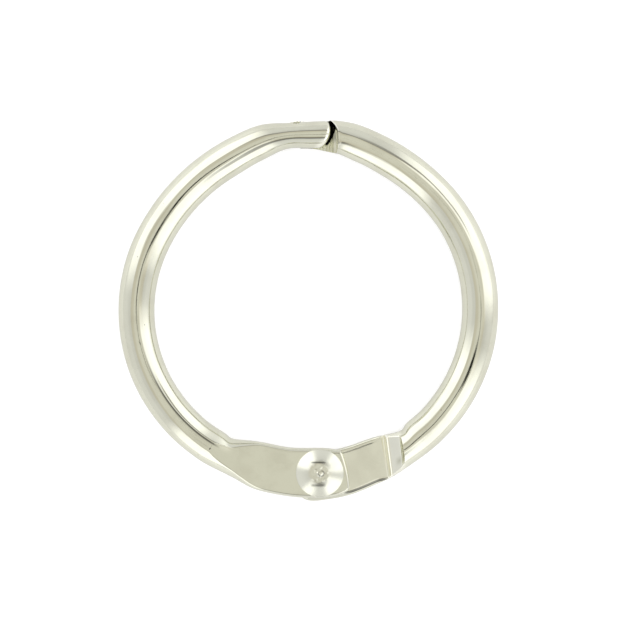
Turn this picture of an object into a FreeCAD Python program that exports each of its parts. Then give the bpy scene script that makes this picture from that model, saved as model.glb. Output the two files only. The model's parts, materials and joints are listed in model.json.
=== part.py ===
"""A hinged snap ring of 3 mm wire: two half rings and the rivet they turn on.

Both half rings are the same kind of piece. Each is modelled from its own front side, in its own
frame: x runs from its bend towards its free nose, y from the hinge to the latch, and z = 0 is the
split plane where the two flat faces meet. The left half lies as modelled. The right half is
turned over about y, so its tongue and its lap lie behind the left ones.
"""
import FreeCAD
import Part
import Sketcher
import math
import os

# Driving dimensions in millimetres and degrees. Names that start with left_ or right_ belong to
# one half, in that half's own frame; tongue_ and riser_ sizes are measured from the rivet's axis,
# lap_, nose_ and shoulder_ sizes from the middle of the latch.
SIZES = {
    "wire_diameter": 3.0,
    "split_gap": 0.04,
    # Where each half is bent: a bow that carries the hinge, then a flatter bow to the latch.
    "left_bow_x": -1.03,
    "left_bow_y": -0.01,
    "left_bow_radius": 13.28,
    "left_bow_end": 152.0,
    "left_crown_radius": 16.2,
    "right_bow_x": -0.52,
    "right_bow_y": 0.19,
    "right_bow_radius": 13.72,
    "right_bow_end": 133.5,
    "right_crown_radius": 17.9,
    "bow_start": 270.0,
    "crown_end": 88.0,
    # The hinge: where it is in each half's frame, and how far the tongue is turned about it.
    "left_hinge_x": 0.91,
    "right_hinge_x": -0.91,
    "hinge_y": -13.44,
    "left_tongue_turn": 0.0,
    "right_tongue_turn": -8.0,
    # The flattened tongue.
    "tongue_thickness": 1.18,
    "tongue_end_inner": 1.8,
    "tongue_end_outer": 2.45,
    "tongue_inner_height": 1.9,
    "tongue_outer_depth": 1.5,
    "tongue_end_radius": 8.0,
    "tongue_root_outer": 9.0,
    "tongue_root_low": 0.5,
    "tongue_root_inner": 7.6,
    "tongue_root_high": 2.9,
    "tongue_outer_radius": 13.3,
    "tongue_inner_radius": 46.0,
    "tongue_edge_round": 0.25,
    # The coined facet that runs from the wire's crest down to the tongue's face.
    "facet_start": 9.2,
    "facet_end": 6.6,
    "facet_rise": 0.3,
    # The two steps where the split face rises to the full wire.
    "riser_low": 5.75,
    "riser_high": 7.1,
    "tread_depth": 0.75,
    # The lap at the latch.
    "left_latch_x": 0.1,
    "right_latch_x": -0.1,
    "latch_y": 14.6,
    "lap_crown_x": 4.7,
    "lap_crown_y": 0.81,
    "nose_top_x": 1.58,
    "nose_top_y": 1.19,
    "nose_foot_x": 0.65,
    "neck_y": -1.14,
    "nose_radius": 1.9,
    "neck_x": 1.6,
    "throat_x": 3.4,
    "throat_y": -2.15,
    "neck_radius": 2.9,
    "shoulder_foot_x": 2.35,
    "shoulder_top_x": 1.9,
    "shoulder_radius": 4.7,
    "tooth_pitch": 0.22,
    "tooth_width": 0.11,
    "tooth_depth": 0.08,
    "tooth_start": 1.9,
    "tooth_count": 16,
    # How far the cutting outlines reach past the piece.
    "cut_reach": 4.0,
    # The rivet.
    "shank_diameter": 2.2,
    "running_clearance": 0.04,
    "head_radius": 1.98,
    "head_rim": 0.1,
    "head_height": 0.75,
    "dome_radius": 3.05,
    "dimple_radius": 0.7,
    "dimple_floor": 0.69,
    "tail_radius": 1.85,
    "tail_rim": 0.08,
    "tail_bend": 0.8,
    "tail_flat": 1.2,
    "tail_height": 0.4,
    # From the halves' shared frame to the ring's own: its footprint is centred on the origin.
    "footprint_x": -0.035,
    "footprint_y": 0.168,
}

ORIGIN = FreeCAD.Vector(0, 0, 0)
UP = FreeCAD.Vector(0, 0, 1)
TOLERANCE = 1e-4


def make_sheet(doc):
    """Write the driving dimensions into a spreadsheet, one named cell each."""
    sheet = doc.addObject("Spreadsheet::Sheet", "sizes")
    for row, (name, value) in enumerate(SIZES.items(), start=1):
        sheet.set("A%d" % row, name)
        sheet.set("B%d" % row, str(value))
        sheet.setAlias("B%d" % row, name)
    doc.recompute()


def signed(name):
    """The number behind a cell's name, where a leading minus turns its sign."""
    if name == "0":
        return 0.0
    return -SIZES[name[1:]] if name.startswith("-") else SIZES[name]


def cell(name):
    """The expression that reads a named cell, where a leading minus turns its sign."""
    return "-sizes." + name[1:] if name.startswith("-") else "sizes." + name


def new_sketch(body, name, role, offsets, turn="0"):
    """A sketch on one of the body's own origin planes, moved within it by named sizes."""
    plane = [item for item in body.Origin.OriginFeatures if item.Role == role][0]
    sketch = body.newObject("Sketcher::SketchObject", name)
    sketch.AttachmentSupport = [(plane, "")]
    sketch.MapMode = "FlatFace"
    upright = FreeCAD.Vector(0, 1, 0) if role == "XZ_Plane" else UP
    sketch.AttachmentOffset = FreeCAD.Placement(ORIGIN, FreeCAD.Rotation(upright, 1))
    for axis, expression in offsets.items():
        sketch.setExpression("AttachmentOffset.Base." + axis, expression)
    sketch.setExpression("AttachmentOffset.Rotation.Angle", turn)
    return sketch


def hold(sketch, kind, value, expression, *where):
    """Add one named dimension and bind it to the spreadsheet."""
    index = sketch.addConstraint(Sketcher.Constraint(kind, *where, value))
    name = "size_%d" % index
    sketch.renameConstraint(index, name)
    sketch.setExpression("Constraints." + name, expression)


def place_point(sketch, geometry, end, corner):
    """Hold one end of a line or an arc at the corner given by two cell names."""
    across, along = corner[0], corner[1]
    for kind, axis, name in (("DistanceX", -2, across), ("DistanceY", -1, along)):
        if name == "0":
            sketch.addConstraint(Sketcher.Constraint("PointOnObject", geometry, end, axis))
        else:
            hold(sketch, kind, signed(name), cell(name), -1, 1, geometry, end)


def bent_edge(start, end, radius):
    """The short arc from start to end: counter-clockwise for a positive radius."""
    chord = end - start
    middle = (start + end) * 0.5
    normal = FreeCAD.Vector(-chord.y, chord.x, 0).normalize()
    rise = math.sqrt(radius * radius - chord.Length ** 2 / 4)
    centre = middle + normal * math.copysign(rise, radius)
    first, last = (start, end) if radius > 0 else (end, start)
    angles = [math.atan2(point.y - centre.y, point.x - centre.x) for point in (first, last)]
    if angles[1] < angles[0]:
        angles[1] += 2 * math.pi
    return Part.ArcOfCircle(Part.Circle(centre, UP, abs(radius)), angles[0], angles[1])


def trace(sketch, corners):
    """Draw a closed outline. A corner is two cell names, and a third makes the next edge an arc."""
    points = [FreeCAD.Vector(signed(corner[0]), signed(corner[1]), 0) for corner in corners]
    ends = []
    for index, corner in enumerate(corners):
        start = points[index]
        end = points[(index + 1) % len(corners)]
        if len(corner) == 3:
            radius = signed(corner[2])
            edge = sketch.addGeometry(bent_edge(start, end, radius))
            first, last = (1, 2) if radius > 0 else (2, 1)
            hold(sketch, "Radius", abs(radius), cell(corner[2].lstrip("-")), edge)
        else:
            edge = sketch.addGeometry(Part.LineSegment(start, end))
            first, last = 1, 2
        place_point(sketch, edge, first, corner)
        ends.append((edge, first, last))
    for index, (edge, first, last) in enumerate(ends):
        following = ends[(index + 1) % len(ends)]
        sketch.addConstraint(Sketcher.Constraint("Coincident", edge, last, following[0], following[1]))


def add_round(sketch, diameter, expression):
    """Draw a circle about the sketch's origin, its diameter bound to an expression."""
    circle = sketch.addGeometry(Part.Circle(ORIGIN, UP, diameter / 2))
    hold(sketch, "Diameter", diameter, expression, circle)
    sketch.addConstraint(Sketcher.Constraint("Coincident", circle, 3, -1, 1))


def check(doc, message):
    """Recompute and stop if any object has failed."""
    doc.recompute()
    failed = [item.Name for item in doc.Objects if "Invalid" in item.State or "Error" in item.State]
    if failed:
        raise RuntimeError("%s: %s" % (message, ", ".join(failed)))


def cut(body, name, sketch, length, both_ways=False, upward=False):
    """Pocket a sketch out of the body, and stop if the pocket takes nothing away."""
    before = body.Shape.Volume
    pocket = body.newObject("PartDesign::Pocket", name)
    pocket.Profile = sketch
    pocket.setExpression("Length", length)
    if both_ways:
        pocket.SideType = "Symmetric"
    pocket.Reversed = upward
    check(body.Document, name)
    if body.Shape.Volume > before - TOLERANCE:
        raise RuntimeError(name + " cut nothing")
    return pocket


def add_tongue(body, side):
    """The flat tongue at the hinge."""
    hinge = {"x": "sizes.%s_hinge_x" % side, "y": "sizes.hinge_y", "z": "sizes.split_gap / 2"}
    outline = new_sketch(body, side + "_tongue_outline", "XY_Plane", hinge,
                         "sizes.%s_tongue_turn" % side)
    trace(outline, [
        ("tongue_end_outer", "-tongue_outer_depth", "tongue_end_radius"),
        ("tongue_end_inner", "tongue_inner_height", "-tongue_inner_radius"),
        ("-tongue_root_inner", "tongue_root_high"),
        ("-tongue_root_outer", "tongue_root_low", "tongue_outer_radius"),
    ])
    pad = body.newObject("PartDesign::Pad", side + "_tongue")
    pad.Profile = outline
    pad.setExpression("Length", "sizes.tongue_thickness")
    check(body.Document, "tongue")


def add_bow(body, name, centre, radius, start, sweep, clockwise=False):
    """One bow of round wire: its section, turned about the bow's centre."""
    section = new_sketch(body, name + "_section", "XZ_Plane",
                         {"x": centre[0], "z": "-(%s)" % centre[1]}, start)
    middle = FreeCAD.Vector(SIZES[radius], 0, 0)
    circle = section.addGeometry(Part.Circle(middle, UP, SIZES["wire_diameter"] / 2))
    hold(section, "Diameter", SIZES["wire_diameter"], cell("wire_diameter"), circle)
    place_point(section, circle, 3, (radius, "0"))
    bow = body.newObject("PartDesign::Revolution", name)
    bow.Profile = section
    bow.ReferenceAxis = (section, ["V_Axis"])
    bow.Reversed = clockwise
    bow.setExpression("Angle", sweep)
    check(body.Document, name)


def add_wire(body, side):
    """The bent wire: the bow that carries the hinge and, tangent to it, the flatter crown."""
    size = "sizes." + side
    bow_end = size + "_bow_end"
    apart = "({0}_bow_radius - {0}_crown_radius)".format(size)
    bow_centre = (size + "_bow_x", size + "_bow_y")
    crown_centre = (
        "%s + %s * cos(%s * 1 deg)" % (bow_centre[0], apart, bow_end),
        "%s + %s * sin(%s * 1 deg)" % (bow_centre[1], apart, bow_end),
    )
    add_bow(body, side + "_bow", bow_centre, side + "_bow_radius", bow_end,
            "sizes.bow_start - " + bow_end)
    add_bow(body, side + "_crown", crown_centre, side + "_crown_radius", bow_end,
            bow_end + " - sizes.crown_end", clockwise=True)


def cut_hinge_end(body, side):
    """The coined facet in front, and behind it the split face with its two steps."""
    turn = "sizes.%s_tongue_turn" % side
    facet = new_sketch(body, side + "_facet_profile", "XZ_Plane", {
        "x": "sizes.%s_hinge_x" % side,
        "y": "sizes.split_gap / 2 + sizes.tongue_thickness",
        "z": "-sizes.hinge_y",
    }, turn)
    trace(facet, [
        ("-facet_end", "0"),
        ("cut_reach", "0"),
        ("cut_reach", "cut_reach"),
        ("-facet_start", "cut_reach"),
        ("-facet_start", "facet_rise"),
    ])
    cut(body, side + "_facet", facet, "3 * sizes.cut_reach", both_ways=True)

    steps = (
        ("split_face", "sizes.split_gap / 2", "-riser_low"),
        ("tread", "-sizes.tread_depth", "-riser_high"),
    )
    for name, level, riser in steps:
        hinge = {"x": "sizes.%s_hinge_x" % side, "y": "sizes.hinge_y", "z": level}
        floor = new_sketch(body, side + "_" + name + "_outline", "XY_Plane", hinge, turn)
        trace(floor, [
            (riser, "-cut_reach"),
            ("cut_reach", "-cut_reach"),
            ("cut_reach", "cut_reach"),
            (riser, "cut_reach"),
        ])
        cut(body, side + "_" + name, floor, "sizes.wire_diameter")


def round_tongue_rim(body, side):
    """Round the front rim of the tongue where it stands clear of the wire."""
    top = SIZES["split_gap"] / 2 + SIZES["tongue_thickness"]
    hinge = FreeCAD.Vector(SIZES[side + "_hinge_x"], SIZES["hinge_y"], top)
    base = body.Tip
    rim = [
        "Edge%d" % number
        for number, edge in enumerate(base.Shape.Edges, start=1)
        if all(abs(vertex.Z - top) < TOLERANCE for vertex in edge.Vertexes)
        and edge.CenterOfMass.distanceToPoint(hinge) < SIZES["riser_low"]
    ]
    rounding = body.newObject("PartDesign::Fillet", side + "_tongue_rim")
    rounding.Base = (base, rim)
    rounding.setExpression("Radius", "sizes.tongue_edge_round")
    check(body.Document, "tongue rim")


def cut_rivet_hole(body, side, clearance):
    """The hole for the rivet's shank, with a clearance all round."""
    hinge = {"x": "sizes.%s_hinge_x" % side, "y": "sizes.hinge_y"}
    hole = new_sketch(body, side + "_hole_outline", "XY_Plane", hinge)
    add_round(hole, SIZES["shank_diameter"], "sizes.shank_diameter + 2 * " + clearance)
    cut(body, side + "_rivet_hole", hole, "2 * sizes.wire_diameter", both_ways=True)


def cut_latch_end(body, side):
    """The lap at the latch: half the wire's depth, a necked outline, a nose and cross teeth."""
    latch = {"x": "sizes.%s_latch_x" % side, "y": "sizes.latch_y"}
    split = dict(latch, z="sizes.split_gap / 2")

    seat = new_sketch(body, side + "_seat_outline", "XY_Plane", split)
    trace(seat, [
        ("-shoulder_foot_x", "-cut_reach"),
        ("cut_reach", "-cut_reach"),
        ("cut_reach", "cut_reach"),
        ("-shoulder_top_x", "cut_reach"),
        ("-shoulder_top_x", "nose_top_y", "shoulder_radius"),
        ("-shoulder_foot_x", "throat_y"),
    ])
    cut(body, side + "_seat", seat, "sizes.wire_diameter")

    first = dict(split, x=latch["x"] + " - sizes.tooth_start")
    tooth = new_sketch(body, side + "_tooth_outline", "XY_Plane", first)
    trace(tooth, [
        ("0", "-cut_reach"),
        ("tooth_width", "-cut_reach"),
        ("tooth_width", "cut_reach"),
        ("0", "cut_reach"),
    ])
    groove = cut(body, side + "_tooth_groove", tooth, "sizes.tooth_depth", upward=True)
    teeth = body.newObject("PartDesign::LinearPattern", side + "_teeth")
    teeth.Originals = [groove]
    teeth.Direction = (tooth, ["H_Axis"])
    teeth.setExpression("Length", "(sizes.tooth_count - 1) * sizes.tooth_pitch")
    teeth.setExpression("Occurrences", "sizes.tooth_count")
    body.Tip = teeth
    check(body.Document, "teeth")

    lap = new_sketch(body, side + "_lap_outline", "XY_Plane", latch)
    trace(lap, [
        ("-lap_crown_x", "lap_crown_y"),
        ("nose_top_x", "nose_top_y", "-nose_radius"),
        ("nose_foot_x", "neck_y"),
        ("-neck_x", "neck_y", "neck_radius"),
        ("-throat_x", "throat_y"),
        ("-throat_x", "-cut_reach"),
        ("cut_reach", "-cut_reach"),
        ("cut_reach", "cut_reach"),
        ("-lap_crown_x", "cut_reach"),
    ])
    cut(body, side + "_lap", lap, "4 * sizes.wire_diameter", both_ways=True)


def half_ring(doc, side, clearance):
    """One half ring in its own frame."""
    body = doc.addObject("PartDesign::Body", side + "_half_ring")
    body.Label = side + "_half_ring"
    add_wire(body, side)
    add_tongue(body, side)
    cut_hinge_end(body, side)
    round_tongue_rim(body, side)
    cut_rivet_hole(body, side, clearance)
    cut_latch_end(body, side)
    return body


def turn_profile(body, name, level, corners):
    """Turn a half profile, drawn from the axis outwards, about the body's z axis."""
    profile = new_sketch(body, name + "_profile", "XZ_Plane", {"y": level})
    trace(profile, corners)
    turned = body.newObject("PartDesign::Revolution", name)
    turned.Profile = profile
    turned.ReferenceAxis = (profile, ["V_Axis"])
    turned.Angle = 360
    check(body.Document, name)


def hinge_rivet(doc):
    """The rivet: a domed head in front, a shank through both tongues and a low tail behind."""
    body = doc.addObject("PartDesign::Body", "hinge_rivet")
    body.Label = "hinge_rivet"
    seat = "(sizes.split_gap / 2 + sizes.tongue_thickness)"
    turn_profile(body, "head", seat, [
        ("0", "0"),
        ("head_radius", "0"),
        ("head_radius", "head_rim", "dome_radius"),
        ("dimple_radius", "head_height"),
        ("dimple_radius", "dimple_floor"),
        ("0", "dimple_floor"),
    ])
    end = new_sketch(body, "shank_outline", "XY_Plane", {"z": seat})
    add_round(end, SIZES["shank_diameter"], "sizes.shank_diameter")
    shank = body.newObject("PartDesign::Pad", "shank")
    shank.Profile = end
    shank.Reversed = True
    shank.setExpression("Length", "2 * %s + sizes.running_clearance" % seat)
    check(doc, "shank")
    turn_profile(body, "tail", "-%s - sizes.running_clearance" % seat, [
        ("0", "0"),
        ("0", "-tail_height"),
        ("tail_flat", "-tail_height", "tail_bend"),
        ("tail_radius", "-tail_rim"),
        ("tail_radius", "0"),
    ])
    return body


def put(body, x, y, turned_over=False):
    """Place a body so that the ring stands on z = 0 with its footprint centred on the origin."""
    body.Placement.Rotation = FreeCAD.Rotation(FreeCAD.Vector(0, 1, 0), 180 if turned_over else 0)
    body.setExpression("Placement.Base.x", x + " - sizes.footprint_x")
    body.setExpression("Placement.Base.y", y + " - sizes.footprint_y")
    body.setExpression("Placement.Base.z", "sizes.split_gap / 2 + sizes.tongue_thickness"
                                           " + sizes.running_clearance + sizes.tail_height")


def export(body):
    """Check one piece and write it to its STEP file."""
    shape = body.Shape
    if shape.isNull() or not shape.isValid() or len(shape.Solids) != 1:
        raise RuntimeError(body.Label + " is not one valid solid")
    shape.exportStep("parts/%s.step" % body.Label)
    box = shape.optimalBoundingBox(False)
    print("%s: %.2f mm3, x %.3f to %.3f, y %.3f to %.3f, z %.3f to %.3f" % (
        body.Label, shape.Volume, box.XMin, box.XMax, box.YMin, box.YMax, box.ZMin, box.ZMax))


def main():
    doc = FreeCAD.newDocument("snap_ring")
    make_sheet(doc)
    left = half_ring(doc, "left", "0")
    right = half_ring(doc, "right", "sizes.running_clearance")
    rivet = hinge_rivet(doc)
    put(left, "0", "0")
    put(right, "0", "0", turned_over=True)
    put(rivet, "sizes.left_hinge_x", "sizes.hinge_y")
    check(doc, "placing")
    os.makedirs("parts", exist_ok=True)
    for body in (left, right, rivet):
        export(body)


main()
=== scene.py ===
"""Hinged snap key ring in bright nickel plate: two half rings that turn on a domed rivet.

Each half ring is one sweep. Its ribs are straight lines across the wire, seen from the front, from
the inner outline to the outer one. The ribs stand in the half's own frame: origin on the hinge axis
in the plane between the halves, x towards the half's free end, y to the latch, z to its own front.
The left half is used as it is, and the right half is turned over about y. Sizes are in millimetres.
"""
import json
import math

import bmesh
import bpy
import numpy as np
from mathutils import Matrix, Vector, noise


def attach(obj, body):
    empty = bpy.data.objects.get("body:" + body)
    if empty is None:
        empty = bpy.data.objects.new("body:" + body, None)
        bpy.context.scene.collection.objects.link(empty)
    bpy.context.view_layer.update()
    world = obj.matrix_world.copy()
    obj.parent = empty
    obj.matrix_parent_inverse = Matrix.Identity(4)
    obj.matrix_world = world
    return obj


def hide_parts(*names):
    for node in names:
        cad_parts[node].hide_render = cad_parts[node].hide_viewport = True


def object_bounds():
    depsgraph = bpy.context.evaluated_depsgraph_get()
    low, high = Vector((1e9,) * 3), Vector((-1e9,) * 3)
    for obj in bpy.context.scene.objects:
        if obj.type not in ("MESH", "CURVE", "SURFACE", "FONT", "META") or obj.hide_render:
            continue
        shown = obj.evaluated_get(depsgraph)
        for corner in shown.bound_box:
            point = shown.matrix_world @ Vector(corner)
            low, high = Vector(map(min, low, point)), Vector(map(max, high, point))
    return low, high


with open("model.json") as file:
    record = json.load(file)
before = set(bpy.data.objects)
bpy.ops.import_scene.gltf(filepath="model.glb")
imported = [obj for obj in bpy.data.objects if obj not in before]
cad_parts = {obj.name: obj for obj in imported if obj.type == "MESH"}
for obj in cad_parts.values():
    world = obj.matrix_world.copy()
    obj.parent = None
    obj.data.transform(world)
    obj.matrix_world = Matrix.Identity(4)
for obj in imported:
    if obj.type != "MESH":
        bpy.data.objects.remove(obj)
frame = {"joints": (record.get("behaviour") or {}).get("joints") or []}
cad_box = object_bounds()

MM = 0.001
HINGE = Vector(frame["joints"][0]["pos_m"]) / MM

# ---------------------------------------------------------------- the wire and its coined ends
WIRE_RADIUS = 1.5
HALF_GAP = 0.02              # from the plane between the halves to either half
FACET_HEIGHT = 1.2           # the tongue's flat front, above the plane between the halves
FACET_START = 9.2            # where the flat leaves the crest of the wire, from the hinge
FACET_FULL = 6.6             # where it is down to its full depth
FACET_EDGE = 0.09            # rounding of the facet's edge
FLAT_TILT = 0.038            # slope across the tongue of its front face
SPLIT_TILT = 0.062           # the same of its split face
TILT_FROM = 2.0              # the front face is at its full height this far in from the middle
CREST_FLAT = 0.045           # the crest is pressed flat a little way before the facet begins
CREST_FLAT_END = 20
CREST_EDGE = 0.012           # rounding of the pressed crest's edge
CREASE = 0.2                 # the crease where the flat meets the inner side, across the wire, where a dark reflection line is painted
CREASE_WIDTH = 0.085
CREASE_START = (FACET_START - 0.8, FACET_START + 0.4)    # where it starts to show, and where it has
CREASE_END = (15, 21)        # where the crease starts to fade out, and where it has
# how dark the painted dark lines are: the reflection line at the crease and the line along the split face's
# outer edge
CREASE_DARK = 0.95
SPLIT_EDGE = 0.09            # rounding of the split face's edge
SPLIT_SLOPE_START = (0.9, 1.9)   # where the split face starts to slope across, and where it has
SPLIT_SLOPE_END = 0.3        # how far before the first riser the slope starts to fade out
TONGUE_WAIST = 0.5           # height of the tongue's widest line
TONGUE_ROOT = 7.4            # where the wire starts to change to the tongue, and where it has
TONGUE_FULL = 4.6
SPLIT_REACH = 0.57           # how far below the waist the tongue's rounded back would reach
TREAD_HIGH = 5.75            # the first riser, where the split face drops to the tread
TREAD_LOW = 7.1              # the second riser, where the tread meets the round wire
TREAD_TOP = -0.45
TREAD_FOOT = -1.0
RISER_WIDTH = 0.2
BURR = 0.07                  # height of the burrs at the tread's ends
BURR_WIDTH = 0.12
BURR_INSET = 0.05            # from the first riser's edge to the burr on its upper side
WALL_WIDTH = 0.14            # the shoulder's wall
WALL_LIP = 0.32              # rounding of its top edge
WALL_LIP_END = (0.1, 0.6)    # how far from the wall the rounding starts to fade out, and where it has
WALL_TURN = 0.25             # where across the wire the wall is furthest from the free end
WALL_CURVE = (0.12, 0.93)    # how fast it comes nearer from there: inner side, outer side
FOOT_DEPTH = 0.6             # relief groove at the foot of the shoulder, on its outer side
FOOT_EDGE = 0.1              # where it starts, from the wall, on the outer side
FOOT_SLANT = (0.55, 0.65)    # from this far across it leaves the wall, by this much per half width
FOOT_RIM = 0.06              # half width of its sloping rim
FOOT_END = (0.75, 1.05)      # where it starts to fade out, and where it has
FOOT_INNER = (-0.6, -0.4)    # where it has faded out across the wire, and where it is full
FRONT_SQUARENESS = (2.6, 3.0)    # exponents of the tongue's front edge: outer side, inner side
BACK_SQUARENESS = (2.0, 4.5)     # the same for its split side
LAP_SQUARENESS = 2.2
LAP_BLEND = 1.0              # the wire changes to the lap's section this far either side of the shoulder
SHOULDER = -2.3              # the shoulder, along the wire from the latch centre
TOOTH_PITCH = 0.22
TOOTH_DEPTH = 0.08
TOOTH_FIRST = -1.95
TOOTH_LAST = 1.25
TONGUE_END_ROUND = 0.26
NOSE_ROUND = 0.34
TONGUE_END_BULGE = 0.16
TONGUE_END_LENGTH = 1.2      # how far back the tongue end's bulge reaches
NOSE_BULGE = 0.4
NOSE_LENGTH = 1.3            # how far back the nose's bulge reaches
NOSE_LEAN = 0.1              # how much fuller the bulge is on the inner side
HOLE_RADIUS = 1.12
BELOW = -1.7                 # lower than any part of a half's section

# ---------------------------------------------------------------- painted shade and painted highlights on the halves
# Unless its comment says otherwise, a pair is where a change starts and where it is complete: along
# the wire from the hinge, or across it from -1 on the inner side to 1 on the outer side.
# painted highlight on the lip of the lap's nose
NOSE_HIGHLIGHT = 0.9
NOSE_HIGHLIGHT_START = (1.0, 1.5)     # along the wire from the latch centre
NOSE_HIGHLIGHT_SLANT = (0.5, 0.5)     # from this far across it starts earlier, by this much per half width
NOSE_HIGHLIGHT_END = (0.7, 1)         # across the wire, towards the outer side
ON_FLOOR = 0.03              # a point this near the section's lowest face counts as lying on it
ON_SPLIT = 0.01              # the same, for the painted brightening of the split face
# painted shade in the relief groove at the shoulder's foot
GROOVE_SHADE_END = (0.9, 1)       # across the wire
GAP_SHADE = 0.5                  # how dark the painted shade is on the teeth between the shoulder's wall and the groove
GAP_SHADE_START = (0.02, 0.1)        # from the wall
GAP_SHADE_INNER = (-0.5, 0)          # across the wire
GAP_SHADE_END = (0.8, 1)             # across the wire
SPLIT_EDGE_LINE_HEIGHT = 0.06     # middle of the painted dark line along the split face's outer edge
SPLIT_EDGE_LINE_WIDTH = 0.05
SPLIT_EDGE_LINE_START = (1.5, 2.5)
SPLIT_EDGE_LINE_END = (5.2, 5.6)
# painted shade on the tread, before the second riser
TREAD_SHADE = 0.6
TREAD_SHADE_ACROSS = (0.4, 0.3)   # middle and half width
TREAD_SHADE_ALONG = (0.4, 0.5)    # middle, before the second riser, and half width
WALL_HIGHLIGHT_PLACE = -0.02          # the middle of the painted highlight on the wall's edge, from the wall
WALL_HIGHLIGHT_WIDTH = 0.2
WALL_HIGHLIGHT_ACROSS = (-0.4, 0.3)
# painted highlights of the split side: the split face is brightened to make up for its darker reflection,
# and the first riser and the tread are lightened
SPLIT_BRIGHTENING = 0.2
RISER_HIGHLIGHT_WIDTH = 0.35
TREAD_HIGHLIGHT = 0.5
TREAD_HIGHLIGHT_FADE = 0.2

# ---------------------------------------------------------------- each half's own plan
# Ribs are (inner x, inner y, outer x, outer y): the tongue's from the hinge, along the turned
# tongue, and the lap's from the latch centre.
LEFT = {
    "bow": (-1.94, 13.43, 13.28),
    "bow_end": 152,
    "crown_radius": 16.17,
    "wire_start": 240,
    "wire_end": 118,
    "turn": 0,
    "latch": (-0.81, 28.04),
    "tongue": [
        (1.81, 1.89, 2.47, -1.45),
        (1.0, 1.99, 1.55, -1.86),
        (0.0, 2.06, 0.0, -2.06),
        (-2.45, 2.1, -2.45, -1.97),
        (-4.6, 2.5, -4.6, -1.58),
        (-5.75, 2.66, -5.75, -1.23),
        (-7.1, 2.78, -7.1, -0.5),
    ],
    "lap": [
        (-4.5, -2.41, -5.7, 0.22),
        (-3.3, -1.79, -3.9, 0.86),
        (-2.45, -1.37, -2.5, 0.97),
        (-1.5, -1.13, -1.4, 1.0),
        (-0.4, -1.12, -0.3, 1.07),
        (1.0, -1.12, 1.54, 1.15),
    ],
    "seed": 3.0,
}
RIGHT = {
    "bow": (0.39, 13.63, 13.72),
    "bow_end": 133.5,
    "crown_radius": 17.9,
    "wire_start": 232,
    "wire_end": 118,
    "turn": -8,
    "latch": (0.81, 28.04),
    "tongue": [
        (1.7, 1.5, 1.8, -1.9),
        (1.0, 1.58, 1.2, -2.22),
        (0.0, 1.65, 0.0, -2.34),
        (-2.4, 1.77, -2.4, -2.2),
        (-4.5, 2.18, -4.5, -1.67),
        (-5.75, 2.33, -5.75, -1.3),
        (-7.1, 2.5, -7.1, -0.68),
    ],
    "lap": [
        (-4.2, -2.42, -4.8, 0.55),
        (-3.1, -1.92, -3.4, 1.0),
        (-2.45, -1.64, -2.25, 1.17),
        (-1.5, -1.42, -1.4, 1.15),
        (-0.4, -1.2, -0.3, 1.08),
        (1.0, -1.15, 1.5, 1.14),
    ],
    "seed": 11.0,
}
WIRE_RIB_STEP = 6            # degrees between the ribs on the round wire

# ---------------------------------------------------------------- mesh density
QUARTER_POINTS = 40          # points on each quarter of a section
DENSE_POINTS = 140           # points that a quarter is worked out with before it is thinned
BEND_WEIGHT = 0.3            # millimetres that one radian of bend counts for when thinning
END_STEPS = 7
SHARP_ANGLE = math.radians(38)
WAY_STEP = 0.01              # step that a rib's heading is worked out over
DRAW_MARK = 0.0065           # height of the marks that drawing left along the wire
DRAW_FINE = (9, 0.16)        # how closely the fine marks lie, round the wire and along it
DRAW_BROAD = (2.2, 0.3)      # the same of the broad ones
DRAW_BROAD_SHARE = 1.6
DRAW_BROAD_SEED = 40
DRAW_START = (7.2, 10)       # from the hinge
DRAW_END = (-4, -2.6)        # from the latch centre

# ---------------------------------------------------------------- the rivet
HEAD_RADIUS = 1.98
HEAD_HEIGHT = 0.75
HEAD_SUNK = 0.16             # how far its rim reaches down to the sloping face
DOME_RADIUS = 3.05
HEAD_EDGE = 0.05             # rounding of the head's edge
HEAD_INNER = 1.0             # the profile's first run of evenly spaced points ends at this radius
HEAD_INNER_POINTS = 40
HEAD_OUTER = 1.03            # and its second run starts at this one
HEAD_OUTER_POINTS = 34
DIMPLE_RADIUS = 0.78
DIMPLE_FLOOR = 0.25          # radius of the dimple's floor
DIMPLE_DEPTH = 0.08
NUB_RADIUS = 0.4
NUB_TOP = 0.05               # radius of the nub's top
NUB_HEIGHT = 0.05
SHANK_RADIUS = 1.1
TAIL_RADIUS = 1.85
TAIL_HEIGHT = 0.4
TAIL_FLAT = 1.2
TAIL_RIM = 0.08
RIVET_BEVEL = 0.03
TURNS = 180                  # points round the rivet
UV_STEP = 0.05               # the uv map's first axis, from one of them to the next
HEAD_ABOVE = FACET_HEIGHT + 0.2  # only the head is higher than this
DENT = 0.035                 # depth of the uneven pressing in the head's middle
DENT_SCALE = 3.4
DENT_SEED = 2.0
DENT_END = (0.5, 1.0)        # radius where it starts to fade out, and where it has
WAVE = 0.0015                # height of the head's faint waves
WAVE_SCALE = 5
WAVE_SEED = 9.0
REFLECTION_BARS = [                # painted dark reflection lines across the head: place, half width, darkness
    (0.9, 0.11, 0.75),
    (-0.98, 0.2, 0.55),
]
REFLECTION_BAR_MIDDLE = -0.12
REFLECTION_BAR_END = (0.4, 0.72)   # from its middle: where it starts to fade out, and where it has
NUB_SHADE = 0.6               # painted shade in part of a ring round the nub
NUB_SHADE_MIDDLE = 0.12
NUB_SHADE_RADIUS = 0.22
NUB_SHADE_WIDTH = 0.09
NUB_SHADE_SIDE = (-0.3, 0.1)
DRILL_SIDES = 96
DRILL_LENGTH = 8


def ramp(x, start, end):
    """0 before start, 1 after end, and a smooth step between."""
    t = np.clip((x - start) / (end - start), 0, 1)
    return t * t * (3 - 2 * t)


def blunt_min(a, b, width):
    """The smaller of two heights, with the corner between them rounded."""
    share = np.clip(0.5 + 0.5 * (b - a) / width, 0, 1)
    return b + (a - b) * share - width * share * (1 - share)


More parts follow.
